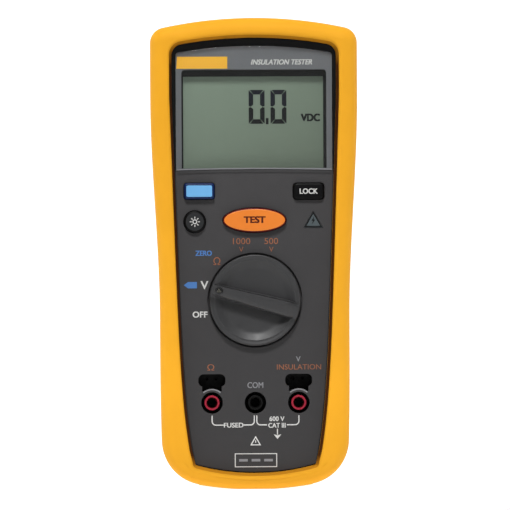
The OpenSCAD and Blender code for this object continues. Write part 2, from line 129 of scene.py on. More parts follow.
def linear(red, green, blue):
    """A display colour, 0 to 255, as scene-linear RGBA."""
    def one(value):
        value /= 255.0
        return value / 12.92 if value <= 0.04045 else ((value + 0.055) / 1.055) ** 2.4
    return one(red), one(green), one(blue), 1.0


def seen(red, green, blue, sheen=0.014):
    """The base colour that shows as this display colour, less the white sheen of the studio."""
    lit = linear(red, green, blue)[:3]
    return tuple(max(DARKEST, (value - sheen) / STUDIO) for value in lit) + (1.0,)


def shade(colour, factor):
    """A colour made lighter or darker."""
    return tuple(min(1.0, value * factor) for value in colour[:3]) + (1.0,)


class Look:
    """A Principled material with its colour, roughness and bump worked out by noise."""

    def __init__(self, name, colour, rough=0.5, **sockets):
        self.material = bpy.data.materials.new(name)
        self.material.use_nodes = True
        self.nodes = self.material.node_tree.nodes
        self.links = self.material.node_tree.links
        self.shader = self.nodes["Principled BSDF"]
        self.colour = colour
        self.painted = colour
        self.rough = rough
        self.shader.inputs["Base Color"].default_value = colour
        self.shader.inputs["Roughness"].default_value = rough
        for socket, value in sockets.items():
            self.shader.inputs[socket.replace("_", " ")].default_value = value
        self.coords = self.nodes.new("ShaderNodeTexCoord").outputs["Object"]
        self.normal = None

    def noise(self, size_mm, detail=3.0, stretch=None):
        """Noise whose blobs are about size_mm across; stretch scales its axes."""
        noise = self.nodes.new("ShaderNodeTexNoise")
        noise.inputs["Scale"].default_value = 1.0 / (size_mm * MM)
        noise.inputs["Detail"].default_value = detail
        vector = self.coords
        if stretch:
            mapping = self.nodes.new("ShaderNodeMapping")
            mapping.inputs["Scale"].default_value = stretch
            self.links.new(vector, mapping.inputs["Vector"])
            vector = mapping.outputs["Vector"]
        self.links.new(vector, noise.inputs["Vector"])
        return noise.outputs["Fac"]

    def spread(self, factor, low, high, start=0.3, stop=0.7):
        """Maps a factor from start..stop to low..high."""
        span = self.nodes.new("ShaderNodeMapRange")
        span.inputs["From Min"].default_value = start
        span.inputs["From Max"].default_value = stop
        span.inputs["To Min"].default_value = low
        span.inputs["To Max"].default_value = high
        self.links.new(factor, span.inputs["Value"])
        return span.outputs["Result"]

    def mix(self, factor, first, second):
        """Blends two colours, each a value or a socket."""
        mix = self.nodes.new("ShaderNodeMix")
        mix.data_type = "RGBA"
        self.links.new(factor, mix.inputs[0])
        for index, value in ((6, first), (7, second)):
            if isinstance(value, tuple):
                mix.inputs[index].default_value = value
            else:
                self.links.new(value, mix.inputs[index])
        return mix.outputs[2]

    def paint(self, socket):
        """Takes the base colour from a socket."""
        self.links.new(socket, self.shader.inputs["Base Color"])
        self.painted = socket
        return self

    def mottle(self, size_mm, amount, detail=3.0):
        """Slow change of colour over the surface."""
        factor = self.spread(self.noise(size_mm, detail), 0.0, 1.0)
        return self.paint(self.mix(
            factor, shade(self.colour, 1 - amount), shade(self.colour, 1 + amount)))

    def along(self, direction):
        """Distance in metres along a direction from the frame's origin."""
        dot = self.nodes.new("ShaderNodeVectorMath")
        dot.operation = "DOT_PRODUCT"
        dot.inputs[1].default_value = direction
        self.links.new(self.coords, dot.inputs[0])
        return dot.outputs["Value"]

    def fade(self, factor, low_m, high_m):
        """Painted shade: darkens the colour by factor towards the foot."""
        height = self.spread(self.along((0, 0, 1)), 0.0, 1.0, low_m, high_m)
        return self.paint(self.mix(height, shade(self.colour, factor), self.painted))

    def painted_bar_shadow(self, angle, centre_m, near_m, far_m):
        """Painted shadow: darkens a band beside a line through (0, centre_m) at this angle."""
        across = (-math.sin(angle), 0, math.cos(angle))
        offset = centre_m * across[2]
        side = self.along(across)
        start = self.spread(side, 0.0, 1.0, offset + near_m - 0.0002, offset + near_m + 0.0002)
        stop = self.spread(side, 1.0, 0.0, offset + near_m * 1.4, offset + far_m)
        both = self.nodes.new("ShaderNodeMath")
        both.operation = "MULTIPLY"
        self.links.new(start, both.inputs[0])
        self.links.new(stop, both.inputs[1])
        return self.paint(self.mix(both.outputs[0], self.painted, shade(self.colour, 0.5)))

    def ends(self, colour, low_m, high_m):
        """Another colour towards the top and the foot, beyond low_m..high_m."""
        for start, stop in ((high_m, high_m + 0.008), (low_m, low_m - 0.005)):
            end = self.spread(self.along((0, 0, 1)), 0.0, 1.0, start, stop)
            self.paint(self.mix(end, self.painted, colour))
        return self

    def wear(self, tint, start=0.52, stop=0.62, strength=0.5):
        """Rubbed edges, where the surface turns sharply outwards."""
        geometry = self.nodes.new("ShaderNodeNewGeometry")
        edge = self.spread(geometry.outputs["Pointiness"], 0.0, strength, start, stop)
        return self.paint(self.mix(edge, self.painted, tint))

    def uneven(self, size_mm, change):
        """Roughness that wanders by change either way."""
        self.links.new(
            self.spread(self.noise(size_mm, 4.0), self.rough - change, self.rough + change),
            self.shader.inputs["Roughness"])
        return self

    def bump(self, size_mm, height_mm, strength=0.5, detail=2.0, stretch=None):
        """Fine relief."""
        bump = self.nodes.new("ShaderNodeBump")
        bump.inputs["Strength"].default_value = strength
        bump.inputs["Distance"].default_value = height_mm * MM
        self.links.new(self.noise(size_mm, detail, stretch), bump.inputs["Height"])
        if self.normal is not None:
            self.links.new(self.normal, bump.inputs["Normal"])
        self.normal = bump.outputs["Normal"]
        self.links.new(self.normal, self.shader.inputs["Normal"])
        return self


def moulded(name, colour, rough, grain_mm=0.35, height_mm=0.02, amount=0.05, **sockets):
    """Moulded plastic or rubber with a fine spark-eroded grain."""
    sockets.setdefault("Specular_IOR_Level", 0.3)
    look = Look(name, colour, rough, **sockets)
    look.mottle(14.0, amount).uneven(6.0, 0.05)
    look.bump(grain_mm, height_mm, 0.6)
    return look


def metal(name, colour, rough, stretch=(1.0, 1.0, 12.0)):
    """Drawn or plated metal with fine drag lines."""
    look = Look(name, colour, rough, Metallic=1.0)
    look.mottle(5.0, 0.08).uneven(2.0, 0.08)
    look.bump(0.4, 0.004, 0.5, stretch=stretch)
    return look


amber = moulded("amber_elastomer", seen(247, 177, 56), 0.6, 0.5, 0.018, 0.02,
                Specular_IOR_Level=0.06)
# Painted shade: the amber darkens towards the foot.
amber.fade(0.79, 0.002, 0.042)
# Painted shade for the inner wall of the opening: a darker copy of the amber, lighter again near
# the top and the foot.
amber_painted_shade = moulded("amber_inner_wall_painted_shade", seen(84, 52, 12), 0.6, 0.5, 0.018, 0.03,
                     Specular_IOR_Level=0.1)
amber_painted_shade.ends(seen(196, 132, 42), 0.015, 0.186)
# Painted shade: the panel darkens towards its foot.
panel_look = moulded("panel_grain", seen(76, 75, 76), 0.55, 0.28, 0.02, 0.05).fade(0.6, 0.0, 0.15)
case_look = moulded("case_grain", seen(58, 58, 60), 0.58, 0.34, 0.03, 0.06)
case_look.wear(seen(96, 96, 98), 0.53, 0.64, 0.4)
knob_look = moulded("knob_satin", seen(63, 63, 64), 0.48, 0.22, 0.008, 0.05, Specular_IOR_Level=0.5)
# Painted shadow of the grip bar on the dish below it.
knob_look.painted_bar_shadow(POINTER, KNOB_Z * MM, 0.0035, 0.0085)
# Dark gloss, used as painted shadow on the step round the display, and for the pointer's well.
surround_look = moulded("surround_gloss", seen(24, 22, 25), 0.22, 0.6, 0.004, 0.1)
mask_look = moulded("bezel_print", seen(118, 118, 122), 0.34, 0.8, 0.004, 0.03)
# Dark frame plastic; as the border over the glass it is partly painted shadow of the recess.
recess_look = moulded("recess_dark", seen(26, 29, 31), 0.5, 0.4, 0.01, 0.08)
print_white = moulded("ink_white", seen(206, 206, 204), 0.5, 0.12, 0.003, 0.06)
print_grey = moulded("ink_grey", seen(135, 135, 138), 0.5, 0.12, 0.003, 0.06)
pointer_look = moulded("pointer_grey", seen(96, 95, 88), 0.5, 0.12, 0.003, 0.06)
print_orange = moulded("ink_orange", seen(150, 98, 74), 0.5, 0.12, 0.003, 0.08)
print_blue = moulded("ink_blue", seen(84, 127, 188), 0.5, 0.12, 0.003, 0.06)
print_amber = moulded("ink_amber", seen(253, 186, 70), 0.45, 0.12, 0.003, 0.04)
print_brown = moulded("ink_brown", seen(92, 44, 22), 0.5, 0.12, 0.003, 0.06)
# On each key the side and shoulder take a darker copy of the top colour: painted shade round the
# key.
key_blue = moulded("key_blue_side_painted_shade", seen(12, 48, 88), 0.42, 0.3, 0.008, 0.06)
key_sky = moulded("key_blue_top", seen(118, 183, 234), 0.45, 0.3, 0.008, 0.03)
key_black = moulded("key_black", seen(22, 22, 24), 0.45, 0.3, 0.01, 0.06, Specular_IOR_Level=0.15)
key_grey = moulded("key_black_top", seen(33, 33, 35), 0.5, 0.3, 0.01, 0.06, Specular_IOR_Level=0.15)
key_smoke = moulded("key_black_dome", seen(52, 53, 54), 0.45, 0.3, 0.01, 0.06)
key_rust_painted_shade = moulded("key_orange_side_painted_shade", seen(96, 34, 4), 0.42, 0.3, 0.008, 0.06)
key_orange = moulded("key_orange_top", seen(240, 136, 58), 0.42, 0.3, 0.008, 0.03)
jack_red = moulded("jack_red", seen(160, 50, 66), 0.32, 0.3, 0.006, 0.06)
# Painted shade: a darker copy of the red for the red jacks' bore, funnel foot and outer wall.
jack_funnel_painted_shade = moulded("jack_red_funnel_painted_shade", seen(64, 18, 24), 0.4, 0.3, 0.006, 0.06,
                    Specular_IOR_Level=0.2)
jack_black = moulded("jack_black", seen(14, 14, 15), 0.4, 0.3, 0.006, 0.06, Specular_IOR_Level=0.2)
block_look = moulded("input_black", seen(14, 14, 15), 0.5, 0.3, 0.01, 0.08)
smoke_look = moulded("smoke_lens", seen(88, 96, 99), 0.25, 0.5, 0.004, 0.06, Specular_IOR_Level=0.2)
print_black = moulded("ink_black", seen(26, 26, 28), 0.5, 0.12, 0.003, 0.06)
pin_look = metal("blackened_pin", seen(24, 22, 20), 0.5)
rubber_look = moulded("black_rubber", seen(30, 30, 31), 0.62, 0.2, 0.02, 0.08)
pale_look = moulded("pale_plastic", seen(225, 222, 212), 0.5, 0.4, 0.01, 0.03)
label_look = moulded("label_film", seen(196, 196, 192), 0.4, 0.6, 0.005, 0.03)
steel = metal("plated_steel", seen(196, 196, 200), 0.3)
brass = metal("plated_brass", seen(206, 172, 100), 0.28)
blue_sleeve = moulded("capacitor_sleeve", seen(36, 72, 150), 0.3, 0.5, 0.006, 0.06)
cell_look = moulded("cell_jacket", seen(60, 66, 82), 0.3, 0.6, 0.004, 0.1)
ferrite_look = moulded("ferrite", seen(62, 62, 66), 0.7, 0.15, 0.02, 0.12)
winding_look = Look("winding", seen(190, 104, 48), 0.4).mottle(2.0, 0.15).bump(
    0.3, 0.05, 0.9, stretch=(0.2, 0.2, 6.0))
board_look = Look("solder_resist", seen(30, 104, 58), 0.35)
board_look.mottle(3.0, 0.18, 5.0).bump(0.6, 0.02, 0.6)
ceramic_look = moulded("fuse_ceramic", seen(228, 224, 212), 0.6, 0.2, 0.01, 0.04)


def lcd_material():
    """Grey-green display glass, with painted light that makes it a little lighter at its upper
    left.
    """
    look = Look("lcd_glass", linear(140, 155, 136), 0.24, Specular_IOR_Level=0.2)
    split = look.nodes.new("ShaderNodeSeparateXYZ")
    look.links.new(look.coords, split.inputs[0])
    # Painted light: lighter towards the upper left, darker towards the lower right.
    across = look.spread(split.outputs["X"], 0.0, 0.5, 0.031, -0.031)
    up = look.spread(split.outputs["Z"], 0.0, 0.5, 0.141, 0.181)
    total = look.nodes.new("ShaderNodeMath")
    look.links.new(across, total.inputs[0])
    look.links.new(up, total.inputs[1])
    corner = look.mix(total.outputs[0], linear(116, 126, 112), linear(142, 156, 140))
    grain = look.spread(look.noise(0.45, 2.0), 0.0, 0.08)
    look.paint(look.mix(grain, corner, linear(104, 115, 103)))
    look.uneven(8.0, 0.03).bump(0.9, 0.003, 0.3)
    return look


def window_material():
    """Clear window: light passes straight through, with a faint gloss."""
    look = Look("clear_window", linear(200, 205, 205), 0.06)
    look.uneven(12.0, 0.02).bump(9.0, 0.01, 0.15)
    clear = look.nodes.new("ShaderNodeBsdfTransparent")
    clear.inputs["Color"].default_value = (0.97, 0.985, 0.98, 1.0)
    gloss = look.nodes.new("ShaderNodeBsdfGlossy")
    gloss.inputs["Roughness"].default_value = 0.06
    look.links.new(look.normal, gloss.inputs["Normal"])
    blend = look.nodes.new("ShaderNodeMixShader")
    blend.inputs[0].default_value = 0.03
    look.links.new(clear.outputs[0], blend.inputs[1])
    look.links.new(gloss.outputs[0], blend.inputs[2])
    look.links.new(blend.outputs[0], look.nodes["Material Output"].inputs["Surface"])
    return look


lcd_look = lcd_material()
window_look = window_material()
segment_look = moulded("lcd_segment", linear(8, 9, 12), 0.35, 0.5, 0.002, 0.1)
segment_navy = moulded("lcd_segment_upper", linear(8, 10, 26), 0.35, 0.5, 0.002, 0.1)


# ---------------------------------------------------------------- mesh helpers

def add_mesh(name, verts, faces, looks, smooth_angle=40.0, face_looks=None):
    """A mesh object from points in millimetres."""
    mesh = bpy.data.meshes.new(name)
    mesh.from_pydata([(x * MM, y * MM, z * MM) for x, y, z in verts], [], faces)
    for look in looks:
        mesh.materials.append(look.material)
    if face_looks:
        mesh.polygons.foreach_set("material_index", face_looks)
    obj = bpy.data.objects.new(name, mesh)
    bpy.context.scene.collection.objects.link(obj)
    tidy_normals(mesh)
    mesh.polygons.foreach_set("use_smooth", [True] * len(mesh.polygons))
    mesh.set_sharp_from_angle(angle=math.radians(smooth_angle))
    return obj


def tidy_normals(mesh):
    """Welds doubled points and turns every face outwards."""
    bm = bmesh.new()
    bm.from_mesh(mesh)
    bmesh.ops.remove_doubles(bm, verts=bm.verts, dist=1e-7)
    bmesh.ops.recalc_face_normals(bm, faces=bm.faces)
    bm.to_mesh(mesh)
    bm.free()


def loft(name, rings, looks, ring_looks=None, closed=False, smooth_angle=40.0):
    """Skins rings of points, all of the same length; open ends are capped."""
    count = len(rings[0])
    verts = [point for ring in rings for point in ring]
    faces, face_looks = [], []
    last = len(rings) if closed else len(rings) - 1
    for k in range(last):
        nxt = (k + 1) % len(rings)
        for i in range(count):
            j = (i + 1) % count
            faces.append((k * count + i, k * count + j, nxt * count + j, nxt * count + i))
            face_looks.append(ring_looks[k] if ring_looks else 0)
    if not closed:
        faces.append(tuple(range(count)))
        face_looks.append(face_looks[0])
        faces.append(tuple((len(rings) - 1) * count + i for i in range(count)))
        face_looks.append(face_looks[-2])
    return add_mesh(name, verts, faces, looks, smooth_angle, face_looks)


def lathe(name, profile, x, z, looks, ring_looks=None, steps=96, smooth_angle=30.0):
    """Turns a profile of (radius, y) about a line along y."""
    rings = [
        [(x + max(r, 0.001) * math.cos(a), y, z + max(r, 0.001) * math.sin(a))
         for a in (math.tau * i / steps for i in range(steps))]
        for r, y in profile]
    return loft(name, rings, looks, ring_looks, smooth_angle=smooth_angle)


def evaluated(obj):
    """A copy of obj's mesh with its modifiers applied."""
    graph = bpy.context.evaluated_depsgraph_get()
    return bpy.data.meshes.new_from_object(obj.evaluated_get(graph))


def cut(obj, tool, operation="DIFFERENCE"):
    """Applies a boolean and deletes the tool."""
    modifier = obj.modifiers.new("cut", "BOOLEAN")
    modifier.operation = operation
    modifier.solver = "EXACT"
    modifier.object = tool
    mesh = evaluated(obj)
    obj.modifiers.clear()
    obj.data = mesh
    bpy.data.objects.remove(tool)
    mesh.polygons.foreach_set("use_smooth", [True] * len(mesh.polygons))
    mesh.set_sharp_from_angle(angle=math.radians(35))
    return obj


def bevel(obj, width_mm, segments=2, angle=35.0):
    """Rounds an object's sharp edges."""
    modifier = obj.modifiers.new("edges", "BEVEL")
    modifier.width = width_mm * MM
    modifier.segments = segments
    modifier.limit_method = "ANGLE"
    modifier.angle_limit = math.radians(angle)
    modifier.harden_normals = True
    return obj


def place(obj, body, slot, *nodes):
    """A finished piece: its body and the CAD nodes that it stands for; slot is not used."""
    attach(obj, body)
    if nodes:
        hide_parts(*nodes)
    return obj


def arc(x, z, radius, start, stop, steps):
    """Points on an arc, in degrees."""
    angles = [math.radians(start + (stop - start) * i / steps) for i in range(steps + 1)]
    return [(x + radius * math.cos(a), z + radius * math.sin(a)) for a in angles]


def mirrored(half):
    """Closes a right-hand outline that runs from the bottom middle to the top middle."""
    return half + [(-x, z) for x, z in reversed(half) if x > 0.001]


# ---------------------------------------------------------------- holster

SIDE_STEPS = 46
CORNER_STEPS = 14
END_STEPS = 12


def ease(t):
    """Smooth step from 0 to 1."""
    t = min(1.0, max(0.0, t))
    return t * t * (3 - 2 * t)


def half_width(z):
    """The holster's half width at a height: wide at the top, narrow below the waist."""
    spread = ease((z - TAPER_Z[0]) / (TAPER_Z[1] - TAPER_Z[0]))
    draw = FOOT_DRAW * (max(0.0, FOOT_DRAW_Z - z) / FOOT_DRAW_SPAN) ** 2
    return HALF_FOOT - draw + (HALF_TOP - HALF_FOOT) * spread


def outer_outline(inset):
    """The holster's outline, drawn in by inset."""
    foot_turn = math.degrees(math.asin(FOOT_CORNER_AT[0] / (FOOT_R - FOOT_CORNER)))
    turn = math.degrees(math.asin(CROWN_CORNER_X / (CROWN_R - CROWN_CORNER)))
    corner_z = CROWN_Z - CROWN_R + (CROWN_R - CROWN_CORNER) * math.cos(math.radians(turn))
    corner_r = max(CROWN_CORNER - inset, 1.0)
    corner_x = min(HALF_TOP - CROWN_CORNER, HALF_TOP - inset - corner_r)
    low = arc(0, FOOT_R - FOOT_DROP, FOOT_R - inset, -90, -90 + foot_turn, END_STEPS)
    low = [(x, max(inset, z)) for x, z in low]
    start, stop = FOOT_CORNER_AT[1], corner_z
    side = []
    for i in range(1, SIDE_STEPS):
        z = start + (stop - start) * i / SIDE_STEPS
        side.append((half_width(z) - inset, z))
    return mirrored(
        low + arc(*FOOT_CORNER_AT, FOOT_CORNER - inset, -90 + foot_turn + 2, 0, CORNER_STEPS)
        + side + arc(corner_x, corner_z, corner_r, 0, 90 - turn - 2, CORNER_STEPS)
        + arc(0, CROWN_Z - CROWN_R, CROWN_R - inset, 90 - turn, 90, END_STEPS))


def open_side(z):
    """The opening's half width at a height."""
    below = max(0.0, OPEN_TOP_Z - z)
    return OPEN_HALF - OPEN_SLOPE * below - OPEN_CURL * (below / OPEN_CURL_SPAN) ** OPEN_CURL_POWER


def open_outline(grow, corner=1.2):
    """The edge round the panel, let out by grow, with the same points as the outer outline."""
    turn = math.degrees(math.asin((OPEN_HALF - OPEN_CORNER) / (OPEN_CROWN_R - OPEN_CORNER)))
    corner_z = CROWN_Z - CROWN_R + (OPEN_CROWN_R - OPEN_CORNER) * math.cos(math.radians(turn))
    foot_r = OPEN_FOOT_R + grow
    foot_x = open_side(OPEN_LOW_Z) - corner
    swing = math.degrees(math.asin(foot_x / OPEN_FOOT_R))
    low = arc(0, OPEN_FOOT_Z + OPEN_FOOT_R, foot_r, -90, -90 + swing, END_STEPS)
    centre_z = OPEN_FOOT_Z + OPEN_FOOT_R - (OPEN_FOOT_R - corner) * math.cos(math.radians(swing))
    turn_in = arc(foot_x * (OPEN_FOOT_R - corner) / OPEN_FOOT_R, centre_z, corner + grow,
                  -90 + swing + 4, 6, CORNER_STEPS)
    start, stop = centre_z + 2, corner_z
    side = []
    for i in range(1, SIDE_STEPS):
        z = start + (stop - start) * i / SIDE_STEPS
        side.append((open_side(z) + grow, z))
    return mirrored(
        low + turn_in + side + arc(OPEN_HALF - OPEN_CORNER, corner_z, OPEN_CORNER + grow, 0,
                                   90 - turn - 1, CORNER_STEPS)
        + arc(0, CROWN_Z - CROWN_R, OPEN_CROWN_R + grow, 90 - turn, 90, END_STEPS))


def between(first, second, t):
    """Points part of the way from one outline to another."""
    return [(a[0] + (b[0] - a[0]) * t, a[1] + (b[1] - a[1]) * t) for a, b in zip(first, second)]


def at_depth(outline, y):
    """An outline's points set at depth y."""
    return [(x, y, z) for x, z in outline]


def holster():
    """One closed skin: lip, inner bevel, front band, rounded sides, back rim and cavity."""
    rings = [at_depth(open_outline(0.0), LIP_Y), at_depth(open_outline(0.0), -20.6),
             at_depth(open_outline(0.02), EDGE_Y)]
    # Inner wall, with a soft shoulder
    for grow, y in ((0.15, -21.9), (0.45, -22.7), (0.8, -23.5), (1.1, -24.15), (1.35, -24.55),
                    (1.6, -24.8), (1.95, -24.94), (2.5, -24.99)):
        rings.append(at_depth(open_outline(grow), y))
    # Front band out to the rounded side
    crest = open_outline(3.0)
    shoulder = outer_outline(SIDE_ROUND)
    for t in (0.2, 0.4, 0.6, 0.8):
        rings.append(at_depth(between(crest, shoulder, t), -HALF_DEPTH))
    rings += side_rings(-1)
    # Faint parting line round the middle of the sides
    rings += [at_depth(outer_outline(inset), y) for inset, y in (
        (0.0, -12.0), (0.0, -0.5), (0.0, -0.28), (0.13, -0.1), (0.13, 0.1), (0.0, 0.28), (0.0, 0.5),
        (0.0, 12.0))]
    rings += reversed(side_rings(1))
    # Back rim, its inner wall and the cavity
    for inset, y in ((WALL - 1.0, 24.95), (WALL - 0.3, 24.8), (WALL, 24.4), (WALL, 23.4),
                     (WALL, REAR_Y), (CAVITY_INSET, REAR_Y), (CAVITY_INSET, LIP_Y)):
        rings.append(at_depth(outer_outline(inset), y))
    # The inner wall's rings, 1 to 5, take the painted shade.
    ring_looks = [1 if 1 <= k <= 5 else 0 for k in range(len(rings))]
    obj = loft("holster_skin", rings, [amber, amber_painted_shade], ring_looks, closed=True,
               smooth_angle=50.0)
    return place(obj, "meter", "amber_rubber", "holster")


def side_rings(face):
    """Rounds the outer corner of the front (-1) or the back (1), from the flat to the side."""
    rings = []
    steps = 10
    for step in range(steps + 1):
        angle = math.radians(90 * step / steps)
        inset = SIDE_ROUND * (1 - math.sin(angle))
        depth = HALF_DEPTH - SIDE_ROUND_DEPTH * (1 - math.cos(angle))
        rings.append(at_depth(outer_outline(inset), face * depth))
    return rings


holster()


# ---------------------------------------------------------------- flat printing

class Marks:
    """Printed marks of one colour, a few hundredths of a millimetre proud of a face; also a painted
    highlight.
    """

    def __init__(self, name, face_y, proud=0.04):
        self.name = name
        self.face_y = face_y
        self.proud = proud
        self.bm = bmesh.new()

    def polygon(self, points):
        """A filled outline, made as a thin closed plate."""
        front, back = (
            [self.bm.verts.new((x * MM, y * MM, z * MM)) for x, z in points]
            for y in (self.face_y - self.proud, self.face_y + self.proud))
        count = len(points)
        self.bm.faces.new(front)
        self.bm.faces.new(list(reversed(back)))
        for i in range(count):
            j = (i + 1) % count
            self.bm.faces.new((front[i], back[i], back[j], front[j]))

    def stroke(self, path, width, closed=False):
        """A line of even width along a path."""
        count = len(path)
        left, right = [], []
        for i, point in enumerate(path):
            before = path[i - 1] if (i or closed) else None
            after = path[(i + 1) % count] if (i < count - 1 or closed) else None
            turns = []
            for a, b in ((before, point), (point, after)):
                if a is not None and b is not None:
                    turns.append(Vector((b[0] - a[0], b[1] - a[1])).normalized())
            along = sum(turns, Vector((0, 0))).normalized()
            mitre = 1 / max(0.4, along.dot(turns[0]))
            side = Vector((-along.y, along.x)) * width / 2 * mitre
            left.append((point[0] + side.x, point[1] + side.y))
            right.append((point[0] - side.x, point[1] - side.y))
        last = count if closed else count - 1
        for i in range(last):
            j = (i + 1) % count
            self.polygon([left[i], right[i], right[j], left[j]])

    def words(self, text, x, z, width, height, shear=0.0, bold=0.0):
        """Lettering fitted to a box centred on x and z."""
        curve = bpy.data.curves.new("letters", "FONT")
        curve.body = text
        curve.size = 1.0
        curve.shear = shear
        curve.resolution_u = 4
        thick = 0.01
        curve.extrude = thick
        obj = bpy.data.objects.new("letters", curve)
        bpy.context.scene.collection.objects.link(obj)
        bpy.context.view_layer.update()
        mesh = evaluated(obj)
        bpy.data.objects.remove(obj)
        xs = [v.co.x for v in mesh.vertices]
        ys = [v.co.y for v in mesh.vertices]
        wide, tall = max(xs) - min(xs), max(ys) - min(ys)
        flat = [(v.co.x - min(xs) - wide / 2, v.co.z / thick, v.co.y - min(ys) - tall / 2)
                for v in mesh.vertices]
        # Bold letters are four copies, each shifted sideways and up or down
        steps = ((-1, -0.6), (1, -0.6), (-1, 0.6), (1, 0.6)) if bold else ((0, 0),)
        for k, (dx, dz) in enumerate(steps):
            for v, (u, depth, w) in zip(mesh.vertices, flat):
                v.co = (
                    (x + dx * bold + u * (width - 2 * bold) / wide) * MM,
                    (self.face_y - (self.proud + 0.002 * k) * depth) * MM,
                    (z + dz * bold + w * (height - 1.2 * bold) / tall) * MM)
            self.bm.from_mesh(mesh)

    def finish(self, look, body, slot, *nodes):
        """Turns the marks into one piece."""
        bmesh.ops.remove_doubles(self.bm, verts=self.bm.verts, dist=1e-7)
        bmesh.ops.recalc_face_normals(self.bm, faces=self.bm.faces)
        mesh = bpy.data.meshes.new(self.name)
        self.bm.to_mesh(mesh)
        self.bm.free()
        mesh.materials.append(look.material)
        obj = bpy.data.objects.new(self.name, mesh)
        bpy.context.scene.collection.objects.link(obj)
        return place(obj, body, slot, *nodes)


# ---------------------------------------------------------------- display

lens_low, lens_high = box_mm("lens")
LENS_HALF = lens_high[0]
LENS_R = 196.0
WINDOW_HALF = 31.8
WINDOW_TOP = 184.2
LCD_LEFT, LCD_RIGHT = -31.06, 30.55
LCD_TOP = 181.3
STEP_LOW_Z = 137.0


def lens_outline(grow, steps=24):
    """Arched plate, from its lower left corner anticlockwise."""
    top, half = lens_high[2] + grow, LENS_HALF + grow
    low = lens_low[2] - grow * 0.3
    points = [(half * (2 * i / steps - 1), low + 0.5 * (1 - (2 * i / steps - 1) ** 2))
              for i in range(steps + 1)]
    radius = 1.3 + max(grow, 0)
    edge_z = top - LENS_R + math.sqrt(LENS_R**2 - (half - radius) ** 2) - radius
    points += arc(half - radius, edge_z, radius, 0, 80, 6)
    points += [(x, top - LENS_R + math.sqrt(LENS_R**2 - x * x))
               for x in ((half - radius) * (1 - 2 * i / steps) for i in range(1, steps))]
    points += arc(-half + radius, edge_z, radius, 100, 180, 6)
    return points


def window_outline(half, low, top, radius=1.6):
    """Display window with round upper corners."""
    return ([(-half, low), (half, low)] + arc(half - radius, top - radius, radius, 0, 90, 6)
            + arc(-half + radius, top - radius, radius, 90, 180, 6))


def ring_plate(name, outer, inner, y0, y1, looks, edge=0.0):
    """A flat frame between two outlines of any lengths, from y0 in front to y1 behind."""
    bm = bmesh.new()
    loops = []
    for outline in (outer, inner):
        verts = [bm.verts.new((x * MM, y0 * MM, z * MM)) for x, z in outline]
        loops.append([bm.edges.new((verts[i], verts[(i + 1) % len(verts)]))
                      for i in range(len(verts))])
    bmesh.ops.triangle_fill(bm, edges=loops[0] + loops[1], use_beauty=True)
    faces = list(bm.faces)
    grown = bmesh.ops.extrude_face_region(bm, geom=faces)
    moved = [item for item in grown["geom"] if isinstance(item, bmesh.types.BMVert)]
    bmesh.ops.translate(bm, verts=moved, vec=(0, (y1 - y0) * MM, 0))
    bmesh.ops.recalc_face_normals(bm, faces=bm.faces)
    bmesh.ops.dissolve_limit(bm, angle_limit=0.01, verts=bm.verts, edges=bm.edges)
    mesh = bpy.data.meshes.new(name)
    bm.to_mesh(mesh)
    bm.free()
    for look in looks:
        mesh.materials.append(look.material)
    obj = bpy.data.objects.new(name, mesh)
    bpy.context.scene.collection.objects.link(obj)
    if edge:
        bevel(obj, edge)
    return obj


def display():
    """Window, its grey mask, a dark sheet of painted shadow on the step round it and the display
    behind.
    """
    rings = [at_depth(lens_outline(grow), y) for grow, y in (
        (0.0, PANEL_Y - 0.27), (0.0, -20.9), (-0.12, -21.15), (-0.35, -21.3), (-4.0, -21.32))]
    window = loft("display_window", rings, [window_look], smooth_angle=60.0)
    place(window, "meter", "window_plastic", "lens")
    # Painted highlight along the window's lower edge, in grey ink.
    lip = Marks("window_lower_edge_painted_highlight", -21.3, 0.03)
    lip.stroke([(x, lens_low[2] + 0.3 + 0.5 * (1 - (x / LENS_HALF) ** 2))
                for x in range(-34, 35, 4)], 0.45)
    lip.finish(print_grey, "meter", "grey_print")

    mask = ring_plate("display_mask", lens_outline(-0.02), window_outline(
        WINDOW_HALF, lens_low[2] + 0.9, WINDOW_TOP), PANEL_Y - 0.25, PANEL_Y - 0.02, [mask_look])
    place(mask, "meter", "grey_print", "lens_mask")

    # Dark sheet on the step between the holster's edge and the window: painted shadow cast by the
    # holster
    edge = open_outline(-0.15)
    low_z = min(z for x, z in edge if z > STEP_LOW_Z)
    outer = sorted([p for p in edge if p[0] > 0 and p[1] > STEP_LOW_Z], key=lambda p: p[1])
    outer += [(0, max(z for x, z in edge))]
    outer += [(-x, z) for x, z in reversed(outer[:-1])]
    inner = [p for p in lens_outline(0.05) if p[1] > 142]
    path = [p for p in inner if p[0] > 0] + [p for p in inner if p[0] <= 0]
    outline = outer + [(-LENS_HALF - 0.05, low_z)] + path[::-1] + [(LENS_HALF + 0.05, low_z)]
    count = len(outline)
    verts = at_depth(outline, PANEL_Y - 0.35) + at_depth(outline, PANEL_Y + 0.1)
    faces = [tuple(range(count)), tuple(range(2 * count - 1, count - 1, -1))]
    faces += [(i, (i + 1) % count, (i + 1) % count + count, i + count) for i in range(count)]
    surround = add_mesh("display_surround", verts, faces, [surround_look])
    place(surround, "meter", "black_plastic")

    # Dark border over the glass: partly the display's own dark frame, partly painted shadow of the
    # recess
    border = ring_plate(
        "display_border", window_outline(WINDOW_HALF + 0.3, lens_low[2] + 0.4, WINDOW_TOP + 0.3),
        [(LCD_LEFT, lens_low[2] + 1.0), (LCD_RIGHT, lens_low[2] + 1.0), (LCD_RIGHT, LCD_TOP),
         (LCD_LEFT, LCD_TOP)], -16.7, -16.22, [recess_look], 0.12)
    place(border, "meter", "case_plastic")


display()


